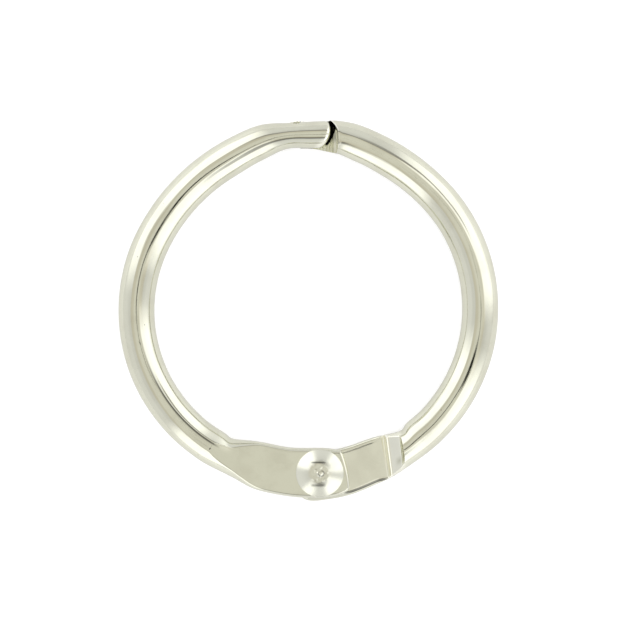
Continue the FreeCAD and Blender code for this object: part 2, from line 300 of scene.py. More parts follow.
def spline(knots, values):
    """A natural cubic spline through the values, as a function of the knots' parameter."""
    count = len(knots)
    gap = np.diff(knots)
    slope = np.diff(values, axis=0) / gap[:, None]
    system = np.eye(count)
    right = np.zeros_like(values)
    for i in range(1, count - 1):
        system[i, i - 1:i + 2] = gap[i - 1], 2 * (gap[i - 1] + gap[i]), gap[i]
        right[i] = 6 * (slope[i] - slope[i - 1])
    bend = np.linalg.solve(system, right)

    def at(x):
        i = np.clip(np.searchsorted(knots, x) - 1, 0, count - 2)
        h = gap[i][:, None]
        b = (x - knots[i])[:, None] / h
        a = 1 - b
        curve = (a ** 3 - a) * bend[i] + (b ** 3 - b) * bend[i + 1]
        return a * values[i] + b * values[i + 1] + curve * h ** 2 / 6

    return at


# ---------------------------------------------------------------- half rings
def turned(x, y, degrees):
    """A point in plan, turned about the origin."""
    c = math.cos(math.radians(degrees))
    s = math.sin(math.radians(degrees))
    return c * x - s * y, s * x + c * y


def wire_rib(half, angle):
    """The rib across the round wire at an angle about the bow's centre or the crown's."""
    x, y, radius = half["bow"]
    if angle < half["bow_end"]:
        shift = radius - half["crown_radius"]
        x += shift * math.cos(math.radians(half["bow_end"]))
        y += shift * math.sin(math.radians(half["bow_end"]))
        radius = half["crown_radius"]
    c = math.cos(math.radians(angle))
    s = math.sin(math.radians(angle))
    inner = radius - WIRE_RADIUS
    outer = radius + WIRE_RADIUS
    return x + inner * c, y + inner * s, x + outer * c, y + outer * s


def half_ribs(half):
    """Every rib of a half, and its distance along the wire from the hinge and from the latch."""
    ribs = []
    for ix, iy, ox, oy in half["tongue"]:
        ribs.append(turned(ix, iy, half["turn"]) + turned(ox, oy, half["turn"]))
    for angle in range(half["wire_start"], half["wire_end"] - 1, -WIRE_RIB_STEP):
        ribs.append(wire_rib(half, angle))
    lx, ly = half["latch"]
    for ix, iy, ox, oy in half["lap"]:
        ribs.append((lx + ix, ly + iy, lx + ox, ly + oy))
    ribs = np.array(ribs)
    middle = (ribs[:, :2] + ribs[:, 2:]) / 2
    along = np.concatenate([[0], np.cumsum(np.linalg.norm(np.diff(middle, axis=0), axis=1))])
    tongue_x = [-(r[0] + r[2]) / 2 for r in half["tongue"]]
    along += tongue_x[-1] - along[len(tongue_x) - 1]
    along[:len(tongue_x)] = tongue_x
    last = half["lap"][-1]
    latch = along[-1] - (last[0] + last[2]) / 2
    return ribs, along, latch


def station_places(first, last, latch):
    """Where the sections stand: close together where the shape changes, wider on the wire."""
    shoulder = latch + SHOULDER
    spans = [                # start, end, spacing
        (first, TREAD_HIGH - 0.2, 0.11),
        (TREAD_HIGH - 0.2, TREAD_HIGH + 0.2, 0.02),
        (TREAD_HIGH + 0.2, FACET_FULL - 0.02, 0.09),
        (FACET_FULL - 0.02, FACET_FULL + 0.02, 0.02),
        (FACET_FULL + 0.02, TREAD_LOW - 0.2, 0.09),
        (TREAD_LOW - 0.2, TREAD_LOW + 0.2, 0.02),
        (TREAD_LOW + 0.2, FACET_START + 0.6, 0.1),
        (FACET_START + 0.6, shoulder - 1.6, 0.18),
        (shoulder - 1.6, shoulder - 0.2, 0.1),
        (shoulder - 0.2, shoulder + 0.7, 0.02),
        (shoulder + 0.7, last, TOOTH_PITCH / 6),
    ]
    places = []
    for start, end, step in spans:
        count = max(1, round((end - start) / step))
        places.append(np.linspace(start, end, count, endpoint=False))
    return np.append(np.concatenate(places), last)


def wall_place(q):
    """Where the shoulder's wall stands, along the wire from the latch centre."""
    curve = np.where(q < WALL_TURN, *WALL_CURVE)
    return SHOULDER + curve * (q - WALL_TURN) ** 2


def past_foot(past_wall, q):
    """0 between the shoulder's wall and the relief groove, and 1 past the groove's edge."""
    turn, slope = FOOT_SLANT
    start = FOOT_EDGE + slope * np.maximum(0, turn - q)
    return ramp(past_wall - start, -FOOT_RIM, FOOT_RIM)


def foot_groove(past_wall, q):
    """How deep the relief groove is, from 0 to 1."""
    return past_foot(past_wall, q) * (1 - ramp(past_wall, *FOOT_END)) * ramp(q, *FOOT_INNER)


def ridge(x, half_width):
    """1 at 0, fading to 0 at the half width on either side."""
    return 1 - ramp(np.abs(x), 0, half_width)


def front_painted_light(s, latch, q):
    """Painted light of the front: a painted dark reflection line in the crease behind the flat, and a
    painted highlight on the lap's nose.
    """
    crease = ridge(q + CREASE, CREASE_WIDTH) * (1 - ramp(s, *CREASE_END)) * ramp(s, *CREASE_START)
    turn, slope = NOSE_HIGHLIGHT_SLANT
    nose_highlight = ramp(s - latch + slope * np.maximum(0, turn - q), *NOSE_HIGHLIGHT_START)
    nose_highlight = nose_highlight * (1 - ramp(q, *NOSE_HIGHLIGHT_END))
    return CREASE_DARK * crease - NOSE_HIGHLIGHT * nose_highlight


def split_painted_shade(s, q, past_wall, groove_shade, above_floor):
    """Painted shade of the split side: in the groove, beside it, on the tread, and as a dark line along the
    outer edge.
    """
    on_floor = above_floor < ON_FLOOR
    gap_shade = GAP_SHADE * ramp(past_wall, *GAP_SHADE_START) * (1 - past_foot(past_wall, q))
    gap_shade = gap_shade * ramp(q, *GAP_SHADE_INNER) * (1 - ramp(q, *GAP_SHADE_END)) * on_floor
    across, across_width = TREAD_SHADE_ACROSS
    along, along_width = TREAD_SHADE_ALONG
    tread = TREAD_SHADE * ridge(q - across, across_width) * ridge(s - TREAD_LOW + along, along_width)
    edge = ridge(above_floor - SPLIT_EDGE_LINE_HEIGHT, SPLIT_EDGE_LINE_WIDTH)
    edge = edge * ramp(s, *SPLIT_EDGE_LINE_START) * (1 - ramp(s, *SPLIT_EDGE_LINE_END))
    return np.maximum(groove_shade + tread * on_floor + gap_shade, CREASE_DARK * edge * (q > 0))


def split_painted_highlight(s, q, past_wall, above_floor):
    """Painted highlights of the split side: the shoulder's edge, the split face, the first riser and the
    tread.
    """
    wall = ridge(past_wall - WALL_HIGHLIGHT_PLACE, WALL_HIGHLIGHT_WIDTH) * ramp(q, *WALL_HIGHLIGHT_ACROSS)
    face = SPLIT_BRIGHTENING * (s < TREAD_HIGH) * (above_floor < ON_SPLIT)
    riser = ridge(s - TREAD_HIGH, RISER_HIGHLIGHT_WIDTH)
    tread = ramp(s, TREAD_HIGH, TREAD_HIGH + TREAD_HIGHLIGHT_FADE)
    tread = tread * (1 - ramp(s, TREAD_LOW - TREAD_HIGHLIGHT_FADE, TREAD_LOW + TREAD_HIGHLIGHT_FADE))
    return np.minimum(wall + (face + riser + TREAD_HIGHLIGHT * tread), 1)


def painted_light(s, latch, q, above_floor, front):
    """How much painted shade the surface gets, up to 1, or how much painted highlight, down to -1."""
    if front:
        return front_painted_light(s, latch, q)
    past_wall = s - latch - wall_place(q)
    # painted shade in the relief groove; no painted highlight is laid over it
    groove_shade = foot_groove(past_wall, q) * (above_floor < ON_FLOOR) * (1 - ramp(q, *GROOVE_SHADE_END))
    painted_shade = split_painted_shade(s, q, past_wall, groove_shade, above_floor)
    return painted_shade - split_painted_highlight(s, q, past_wall, above_floor) * (1 - groove_shade)


def floor_height(s, latch, q):
    """Lowest height of the section: the split face, the tread, the open wire, then the lap.

    q is the place across the section, from -1 on the inner side to 1 on the outer side.
    """
    tread = TREAD_TOP + (TREAD_FOOT - TREAD_TOP) * (s - TREAD_HIGH) / (TREAD_LOW - TREAD_HIGH)
    half_riser = RISER_WIDTH / 2
    height = HALF_GAP + (tread - HALF_GAP) * ramp(s, TREAD_HIGH - half_riser, TREAD_HIGH + half_riser)
    tread_burrs = ridge(s - TREAD_HIGH - half_riser, BURR_WIDTH)
    tread_burrs += ridge(s - TREAD_LOW + half_riser, BURR_WIDTH)
    height -= BURR * tread_burrs
    height += BURR * ridge(s - TREAD_HIGH + half_riser + BURR_INSET, BURR_WIDTH)
    height += (BELOW - height) * ramp(s, TREAD_LOW - half_riser, TREAD_LOW + half_riser)
    sloping = ramp(s, *SPLIT_SLOPE_START) * (1 - ramp(s, TREAD_HIGH - SPLIT_SLOPE_END, TREAD_HIGH))
    height = height + SPLIT_TILT * WIRE_RADIUS * (1 + q) * sloping
    x = s - latch
    face = HALF_GAP
    if TOOTH_FIRST < x < TOOTH_LAST:
        face += TOOTH_DEPTH * math.sin(math.pi * (x - TOOTH_FIRST) / TOOTH_PITCH) ** 2
    past_wall = x - wall_place(q)
    face = face + FOOT_DEPTH * foot_groove(past_wall, q)
    return height + (face - height) * ramp(past_wall, -WALL_WIDTH / 2, WALL_WIDTH / 2)


def section(s, latch, width):
    """Outline of a section as (across, height) rows, from the outer side over the front, and its painted
    shade and painted highlight values.
    """
    tongue = 1 - ramp(s, TONGUE_FULL, TONGUE_ROOT)
    split = 1 - ramp(s, TREAD_HIGH - RISER_WIDTH / 2, TREAD_HIGH + RISER_WIDTH / 2)
    lap = ramp(s - latch, SHOULDER - LAP_BLEND, SHOULDER + LAP_BLEND)
    waist = TONGUE_WAIST * tongue
    start = WIRE_RADIUS - CREST_FLAT * (1 - ramp(s, FACET_START, CREST_FLAT_END))
    sunk = np.clip((FACET_START - s) / (FACET_START - FACET_FULL), 0, 1)
    facet = start - (start - FACET_HEIGHT) * sunk
    facet_edge = CREST_EDGE + (FACET_EDGE - CREST_EDGE) * sunk
    front_reach = WIRE_RADIUS - waist
    back_reach = (WIRE_RADIUS + waist) * (1 - split) + SPLIT_REACH * split
    tilt = FLAT_TILT * sunk
    points = []
    painted_light_values = []
    for quarter in range(4):
        front = quarter < 2
        inner = quarter in (1, 2)
        full = (FRONT_SQUARENESS if front else BACK_SQUARENESS)[inner]
        share = tongue if front else split
        power = 2 + (full - 2) * share + (LAP_SQUARENESS - 2) * lap
        angle = np.linspace(quarter, quarter + 1, DENSE_POINTS) * math.pi / 2
        c = np.cos(angle)
        sn = np.sin(angle)
        across = width * np.sign(c) * np.abs(c) ** (2 / power)
        reach = front_reach if front else back_reach
        height = waist + reach * np.sign(sn) * np.abs(sn) ** (2 / power)
        if s < CREST_FLAT_END:
            height = blunt_min(height, facet - tilt * (across + TILT_FROM), facet_edge)
        q = across / width
        floor = floor_height(s, latch, q)
        lip = WALL_LIP * (1 - ramp(np.abs(s - latch - wall_place(q)), *WALL_LIP_END))
        height = -blunt_min(-height, -floor, SPLIT_EDGE + lip)
        # painted shade and painted highlight at each point of the section
        here = painted_light(s, latch, q, height - floor, front)
        steps = np.hypot(np.diff(across), np.diff(height))
        heading = np.unwrap(np.arctan2(np.diff(height), np.diff(across)))
        bend = np.abs(np.append(0, np.diff(heading)))
        weight = np.concatenate([[0], np.cumsum(steps + BEND_WEIGHT * bend)])
        goal = np.linspace(0, weight[-1], QUARTER_POINTS, endpoint=False)
        points.append(np.column_stack([np.interp(goal, weight, across), np.interp(goal, weight, height)]))
        painted_light_values.append(np.interp(goal, weight, here))
    return np.concatenate(points), np.concatenate(painted_light_values)


def drawing_marks(outline, s, seed, amount):
    """Raises and lowers the section by the faint marks that run along drawn wire."""
    radial = outline / np.linalg.norm(outline, axis=1)[:, None]
    fine_round, fine_along = DRAW_FINE
    broad_round, broad_along = DRAW_BROAD
    lift = []
    for c, sn in radial:
        fine = noise.noise((c * fine_round, sn * fine_round, s * fine_along + seed))
        broad = noise.noise(
            (c * broad_round, sn * broad_round, s * broad_along + seed + DRAW_BROAD_SEED))
        lift.append(fine + DRAW_BROAD_SHARE * broad)
    return outline + radial * np.array(lift)[:, None] * DRAW_MARK * amount


def half_vertices(half):
    """Rings of vertices of a half in its own frame, the place of each ring, and the painted shade and
    painted highlight values.
    """
    ribs, along, latch = half_ribs(half)
    first = along[0] + TONGUE_END_ROUND
    last = along[-1] - NOSE_ROUND
    places = station_places(first, last, latch)
    turn = np.linspace(0, math.pi / 2, END_STEPS + 1)[1:]
    inset = 1 - np.cos(turn)
    places = np.concatenate([
        (first - TONGUE_END_ROUND * np.sin(turn))[::-1], places, last + NOSE_ROUND * np.sin(turn)])
    shrink = np.zeros(len(places))
    shrink[:END_STEPS] = TONGUE_END_ROUND * inset[::-1]
    shrink[-END_STEPS:] = NOSE_ROUND * inset
    rib_at = spline(along, ribs)
    here = rib_at(places)
    ahead = rib_at(places + WAY_STEP)
    behind = rib_at(places - WAY_STEP)
    rings = []
    painted_light_values = []
    for i, s in enumerate(places):
        inner = here[i, :2]
        outer = here[i, 2:]
        middle = (inner + outer) / 2
        width = np.linalg.norm(outer - inner) / 2
        across = (outer - inner) / (2 * width)
        way = (ahead[i] - behind[i])[:2] + (ahead[i] - behind[i])[2:]
        way /= np.linalg.norm(way)
        outline, ring_painted_light = section(s, latch, width)
        on_wire = ramp(s, *DRAW_START) * (1 - ramp(s - latch, *DRAW_END))
        outline = drawing_marks(outline, s, half["seed"], on_wire)
        centre = (outline.max(axis=0) + outline.min(axis=0)) / 2
        size = (outline.max(axis=0) - outline.min(axis=0)) / 2
        outline = centre + (outline - centre) * (1 - shrink[i] / size)
        q = outline[:, 0] / width
        bulge = NOSE_BULGE * ramp(s, last - NOSE_LENGTH, last) * (1 - q * q) * (1 - NOSE_LEAN * q)
        bulge -= TONGUE_END_BULGE * (1 - ramp(s, first, first + TONGUE_END_LENGTH)) * (1 - q * q)
        plan = middle + outline[:, :1] * across + bulge[:, None] * way
        rings.append(np.column_stack([plan, outline[:, 1]]))
        painted_light_values.append(ring_painted_light)
    return rings, places, np.concatenate(painted_light_values)


def cap(mesh, ring):
    """Closes an end with a ladder of faces between the front and the back of its ring."""
    count = len(ring)
    mesh.faces.new((ring[0], ring[1], ring[count - 1]))
    for i in range(1, count // 2 - 1):
        mesh.faces.new((ring[i], ring[i + 1], ring[count - i - 1], ring[count - i]))
    half = count // 2
    mesh.faces.new((ring[half - 1], ring[half], ring[half + 1]))


def new_piece(name, mesh, material):
    """Finishes a bmesh and links it as a piece."""
    bmesh.ops.recalc_face_normals(mesh, faces=mesh.faces)
    data = bpy.data.meshes.new(name)
    mesh.to_mesh(data)
    mesh.free()
    data.materials.append(material)
    data.shade_smooth()
    data.set_sharp_from_angle(angle=SHARP_ANGLE)
    piece = bpy.data.objects.new(name, data)
    bpy.context.scene.collection.objects.link(piece)
    return piece


def drill(piece, radius):
    """Cuts the rivet's hole through a piece."""
    cutter_mesh = bmesh.new()
    bmesh.ops.create_cone(
        cutter_mesh, cap_ends=True, segments=DRILL_SIDES,
        radius1=radius * MM, radius2=radius * MM, depth=DRILL_LENGTH * MM)
    bmesh.ops.translate(cutter_mesh, verts=cutter_mesh.verts, vec=HINGE * MM)
    data = bpy.data.meshes.new("drill")
    cutter_mesh.to_mesh(data)
    cutter_mesh.free()
    cutter = bpy.data.objects.new("drill", data)
    bpy.context.scene.collection.objects.link(cutter)
    cut = piece.modifiers.new("hole", "BOOLEAN")
    cut.operation = "DIFFERENCE"
    cut.solver = "EXACT"
    cut.object = cutter
    solid = bpy.data.meshes.new_from_object(piece.evaluated_get(bpy.context.evaluated_depsgraph_get()))
    piece.modifiers.clear()
    piece.data = solid
    bpy.data.objects.remove(cutter)
    solid.set_sharp_from_angle(angle=SHARP_ANGLE)


def half_ring(name, half, side, material):
    """One half ring. side is 1 for the half as modelled, and -1 for the one turned over."""
    rings, places, painted_light_values = half_vertices(half)
    mesh = bmesh.new()
    uv = mesh.loops.layers.uv.new("along_wire")
    rows = []
    for ring in rings:
        row = []
        for x, y, z in ring:
            row.append(mesh.verts.new((HINGE + Vector((side * x, y, side * z))) * MM))
        rows.append(row)
    count = len(rows[0])
    round_the_wire = 2 * math.pi * WIRE_RADIUS / count
    for i in range(len(rows) - 1):
        for j in range(count):
            k = (j + 1) % count
            face = mesh.faces.new((rows[i][j], rows[i][k], rows[i + 1][k], rows[i + 1][j]))
            corners = ((i, j), (i, j + 1), (i + 1, j + 1), (i + 1, j))
            for loop, (a, b) in zip(face.loops, corners):
                loop[uv].uv = (places[a], b * round_the_wire)
    cap(mesh, rows[0])
    cap(mesh, rows[-1])
    piece = new_piece(name, mesh, material)
    # the painted shade and painted highlight values go into a vertex attribute that the material reads
    piece.data.attributes.new("painted_light", "FLOAT", "POINT").data.foreach_set("value", painted_light_values)
    drill(piece, HOLE_RADIUS)
    return piece


# ---------------------------------------------------------------- rivet
def head_profile():
    """Radius and height of the rivet from the middle of its head to the middle of its tail."""
    dome_top = FACET_HEIGHT + HEAD_HEIGHT
    points = []
    inner = np.linspace(0, HEAD_INNER, HEAD_INNER_POINTS)
    outer = np.linspace(HEAD_OUTER, HEAD_RADIUS - HEAD_EDGE, HEAD_OUTER_POINTS)
    for r in np.concatenate([inner, outer]):
        sag = DOME_RADIUS - math.sqrt(DOME_RADIUS ** 2 - r * r)
        dimple = DIMPLE_DEPTH * (1 - ramp(r, DIMPLE_FLOOR, DIMPLE_RADIUS))
        nub = NUB_HEIGHT * (1 - ramp(r, NUB_TOP, NUB_RADIUS))
        points.append((r, dome_top - sag - dimple + nub))
    rim_top = points[-1][1]
    rim_foot = FACET_HEIGHT - HEAD_SUNK
    for turn in np.linspace(0, math.pi / 2, 6)[1:]:
        r = HEAD_RADIUS - HEAD_EDGE * (1 - math.sin(turn))
        points.append((r, rim_top - HEAD_EDGE * (1 - math.cos(turn))))
    points.append((HEAD_RADIUS, rim_foot + RIVET_BEVEL))
    points.append((HEAD_RADIUS - RIVET_BEVEL, rim_foot))
    points.append((SHANK_RADIUS, rim_foot))
    back = -FACET_HEIGHT
    points.append((SHANK_RADIUS, back))
    points.append((TAIL_RADIUS - RIVET_BEVEL, back))
    points.append((TAIL_RADIUS, back - RIVET_BEVEL))
    for share in np.linspace(0, 1, 12):
        turn = share * math.pi / 2
        r = TAIL_FLAT + (TAIL_RADIUS - TAIL_FLAT) * math.cos(turn)
        points.append((r, back - TAIL_RIM - (TAIL_HEIGHT - TAIL_RIM) * math.sin(turn)))
    points.append((TAIL_FLAT / 2, back - TAIL_HEIGHT))
    points.append((0, back - TAIL_HEIGHT))
    return points


def head_painted_shade(x, y):
    """Two painted dark reflection lines across the head, and painted shade in part of a ring round its nub.
    """
    width = 1 - ramp(abs(x - REFLECTION_BAR_MIDDLE), *REFLECTION_BAR_END)
    bars = sum(dark * ridge(y - place, half_width) * width for place, half_width, dark in REFLECTION_BARS)
    from_ring = math.hypot(x - NUB_SHADE_MIDDLE, y) - NUB_SHADE_RADIUS
    nub = NUB_SHADE * ridge(from_ring, NUB_SHADE_WIDTH) * ramp(x - y, *NUB_SHADE_SIDE)
    return float(bars + nub)


def rivet(name, material):
    """The rivet: domed head with its upset centre, shank through both tongues, flat tail."""
    mesh = bmesh.new()
    uv = mesh.loops.layers.uv.new("along_wire")
    profile = head_profile()
    rows = []
    for r, z in profile:
        if r == 0:
            rows.append([mesh.verts.new((HINGE + Vector((0, 0, z))) * MM)] * TURNS)
            continue
        row = []
        for k in range(TURNS):
            turn = 2 * math.pi * k / TURNS
            x = r * math.cos(turn)
            y = r * math.sin(turn)
            lift = 0
            if z > HEAD_ABOVE:
                near = 1 - ramp(r, *DENT_END)
                lift = DENT * near * noise.noise((x * DENT_SCALE, y * DENT_SCALE, DENT_SEED))
                lift += WAVE * noise.noise((x * WAVE_SCALE, y * WAVE_SCALE, WAVE_SEED))
            row.append(mesh.verts.new((HINGE + Vector((x, y, z + lift))) * MM))
        rows.append(row)
    for i in range(len(rows) - 1):
        for j in range(TURNS):
            k = (j + 1) % TURNS
            corners = [rows[i][j], rows[i][k], rows[i + 1][k], rows[i + 1][j]]
            corners = list(dict.fromkeys(corners))
            face = mesh.faces.new(corners)
            for loop in face.loops:
                spot = loop.vert.co / MM - HINGE
                loop[uv].uv = (j * UV_STEP, math.hypot(spot.x, spot.y))
    piece = new_piece(name, mesh, material)
    # painted dark reflection lines and painted shade on the head, in the same vertex attribute
    painted_light_values = []
    for vertex in piece.data.vertices:
        spot = vertex.co / MM - HINGE
        painted_light_values.append(head_painted_shade(spot.x, spot.y) if spot.z > HEAD_ABOVE else 0.0)
    piece.data.attributes.new("painted_light", "FLOAT", "POINT").data.foreach_set("value", painted_light_values)
    return piece


# ---------------------------------------------------------------- materials
def node(tree, kind, **settings):
    """A shader node, with its properties and its unlinked inputs set."""
    made = tree.nodes.new(kind)
    for key, value in settings.items():
        if hasattr(made, key):
            setattr(made, key, value)
        else:
            made.inputs[key.replace("_", " ")].default_value = value
    return made


def calc(tree, operation, *values):
    """A maths node on sockets and numbers, and its result."""
    made = tree.nodes.new("ShaderNodeMath")
    made.operation = operation
    for i, value in enumerate(values):
        if isinstance(value, (int, float)):
            made.inputs[i].default_value = value
        else:
            tree.links.new(value, made.inputs[i])
    return made.outputs[0]


def fade(tree, value, start, end, low=0.0, high=1.0):
    """A smooth step of a socket's value."""
    made = tree.nodes.new("ShaderNodeMapRange")
    made.interpolation_type = "SMOOTHSTEP"
    tree.links.new(value, made.inputs["Value"])
    made.inputs["From Min"].default_value = start
    made.inputs["From Max"].default_value = end
    made.inputs["To Min"].default_value = low
    made.inputs["To Max"].default_value = high
    return made.outputs["Result"]


# colours of the painted shade and the painted highlight
PAINTED_SHADE_COLOUR = (0.012, 0.011, 0.008)
PAINTED_HIGHLIGHT_COLOUR = (0.97, 0.965, 0.85)
PIT_SIZE = (0.01, 0.045)     # from a cell's middle: where a pit starts to fade out, and where it has
PIT_SHADE = 0.6              # brightness of the pits, as a share of the dull colour
MOTTLE_TINT = (0.42, 0.72)   # range of the mottling that turns the plate dull
MOTTLE_SHINE = (0.3, 0.75)   # range of the mottling that roughens it
MARKS_BUMP = 0.6             # shares of the three in the bump
GRAIN_BUMP = 0.25
PITS_BUMP = 0.9


def nickel(name, base, dull, roughness, stretch):
    """Bright nickel plate with faint marks along the uv map's first axis, small pits and a mottled shine.

    The mesh's painted light attribute darkens it with painted shade where positive and brightens it with
    painted highlight where negative.
    """
    material = bpy.data.materials.new(name)
    material.use_nodes = True
    tree = material.node_tree
    link = tree.links.new
    shader = tree.nodes["Principled BSDF"]
    shader.inputs["Metallic"].default_value = 1.0
    uv = node(tree, "ShaderNodeUVMap", uv_map="along_wire")
    mapping = node(tree, "ShaderNodeMapping")
    mapping.inputs["Scale"].default_value = stretch
    link(uv.outputs["UV"], mapping.inputs["Vector"])
    marks = node(tree, "ShaderNodeTexNoise", Scale=1.0, Detail=4.0, Roughness=0.6)
    link(mapping.outputs["Vector"], marks.inputs["Vector"])

    place = node(tree, "ShaderNodeTexCoord").outputs["Object"]
    mottle = node(tree, "ShaderNodeTexNoise", Scale=420.0, Detail=5.0, Roughness=0.55)
    link(place, mottle.inputs["Vector"])
    grain = node(tree, "ShaderNodeTexNoise", Scale=5200.0, Detail=2.0, Roughness=0.5)
    link(place, grain.inputs["Vector"])
    cells = node(tree, "ShaderNodeTexVoronoi", Scale=620.0, Randomness=1.0)
    link(place, cells.inputs["Vector"])
    pits = fade(tree, cells.outputs["Distance"], *PIT_SIZE)

    tint = node(tree, "ShaderNodeMix", data_type="RGBA")
    tint.inputs["A"].default_value = (*base, 1)
    tint.inputs["B"].default_value = (*dull, 1)
    link(fade(tree, mottle.outputs["Fac"], *MOTTLE_TINT), tint.inputs["Factor"])
    shade = node(tree, "ShaderNodeMix", data_type="RGBA")
    shade.inputs["A"].default_value = (*[c * PIT_SHADE for c in dull], 1)
    link(tint.outputs["Result"], shade.inputs["B"])
    link(pits, shade.inputs["Factor"])
    # painted light attribute: mixes in the painted highlight colour where negative and the painted shade
    # colour where positive
    painted_light_by = node(tree, "ShaderNodeAttribute", attribute_name="painted_light").outputs["Fac"]
    highlighted_colour = node(tree, "ShaderNodeMix", data_type="RGBA")
    highlighted_colour.inputs["B"].default_value = (*PAINTED_HIGHLIGHT_COLOUR, 1)
    link(shade.outputs["Result"], highlighted_colour.inputs["A"])
    highlight_share = calc(tree, "MULTIPLY", painted_light_by, -1.0)
    link(calc(tree, "MAXIMUM", highlight_share, 0.0), highlighted_colour.inputs["Factor"])
    shaded_colour = node(tree, "ShaderNodeMix", data_type="RGBA")
    shaded_colour.inputs["B"].default_value = (*PAINTED_SHADE_COLOUR, 1)
    link(highlighted_colour.outputs["Result"], shaded_colour.inputs["A"])
    link(calc(tree, "MAXIMUM", painted_light_by, 0.0), shaded_colour.inputs["Factor"])
    link(shaded_colour.outputs["Result"], shader.inputs["Base Color"])
    link(fade(tree, mottle.outputs["Fac"], *MOTTLE_SHINE, *roughness), shader.inputs["Roughness"])

    grains = calc(tree, "MULTIPLY", grain.outputs["Fac"], GRAIN_BUMP)
    bumps = calc(tree, "MULTIPLY_ADD", marks.outputs["Fac"], MARKS_BUMP, grains)
    height = calc(tree, "ADD", bumps, calc(tree, "MULTIPLY", pits, PITS_BUMP))
    bump = node(tree, "ShaderNodeBump", Strength=0.1, Distance=0.00002)
    link(height, bump.inputs["Height"])
    link(bump.outputs["Normal"], shader.inputs["Normal"])
    return material


def matt_white(name, white, glow, roughness):
    """A table top: matt white, with some glow where it has to read as pure white."""
    material = bpy.data.materials.new(name)
    material.use_nodes = True
    shader = material.node_tree.nodes["Principled BSDF"]
    shader.inputs["Base Color"].default_value = (white, white, white, 1)
    shader.inputs["Roughness"].default_value = roughness
    shader.inputs["Emission Color"].default_value = (1, 1, 1, 1)
    shader.inputs["Emission Strength"].default_value = glow
    return material


# ---------------------------------------------------------------- studio
VIEW_WIDTH = 51.33           # millimetres across the picture
VIEW_CENTRE = (0.056, -0.168)
CAMERA_DISTANCE = 260
SENSOR = 36
FLOOR_SIZE = 6000
# Tilts are from straight up. A pair of tilts is where a change starts and where it is complete.
TENT_HIGH = 0.78             # brightness of the tent, by the opening and near the floor
TENT_LOW = 0.9
TENT_TILTS = (34, 66)
TENT_TONE = (1.0, 1.0, 1.02, 1)
OPENING_MIDDLE = 0.86        # brightness of the opening, straight up and at its edge
OPENING_EDGE = 0.72
OPENING_TILTS = (8, 30)
OPENING_END = (28, 40)       # where the opening gives way to the tent
OPENING_TONES = ((1.0, 0.985, 0.92, 1), (1.0, 0.955, 0.86, 1))
OPENING_TONE_TILTS = (14, 22)
RIM_START = (27, 31)         # dark rim on one side of the opening
RIM_END = (36, 40)
RIM_SIDE = (72, 38, 50)      # azimuth, and half width full and gone
RIM_DARK = 0.5
PATCH_START = (23, 28)       # darker patch of the tent, across from the rim
PATCH_END = (39, 45)
PATCH_SIDE = (278, 18, 34)   # azimuth, and half width full and gone
PATCH_DARK = 0.65
SOFT_BOX_LIGHT = 0.75
SOFT_BOX_EDGE = 5            # half width of a box's soft upper edge
SOFT_BOX_END = (76, 92)      # its lower edge
SOFT_BOXES = [               # azimuth, half width full and gone, and tilt where it starts: degrees
    (28, 19, 34, 21),
    (137, 20, 38, 35),
    (240, 8, 20, 36),
    (314, 17, 33, 19),
]
LENS_AZIMUTH = 325           # the dark lens, a little off the middle of the opening
LENS_TILT = 4.0
LENS_REACH = 3.2             # half sizes towards the middle and across, in degrees
LENS_ACROSS = 3.0
LENS_EDGE = (0.7, 1.2)       # where it starts to fade out, and where it has, in squared half sizes
LENS_DARK = 0.98
FLOOR_LIGHT_SIZE = 2.0       # metres
FLOOR_LIGHT_HEIGHT = 1.6     # metres
FLOOR_LIGHT_POWER = 12       # watts


def toward(tree, side, front, azimuth, full, gone):
    """1 within full degrees of an azimuth, fading to 0 at gone degrees from it."""
    c = math.cos(math.radians(azimuth))
    sn = math.sin(math.radians(azimuth))
    near = calc(tree, "MULTIPLY_ADD", front, sn, calc(tree, "MULTIPLY", side, c))
    return fade(tree, near, math.cos(math.radians(gone)), math.cos(math.radians(full)))


def darken(tree, light, share):
    """Takes a share of the light away."""
    return calc(tree, "MULTIPLY", light, calc(tree, "SUBTRACT", 1.0, share))


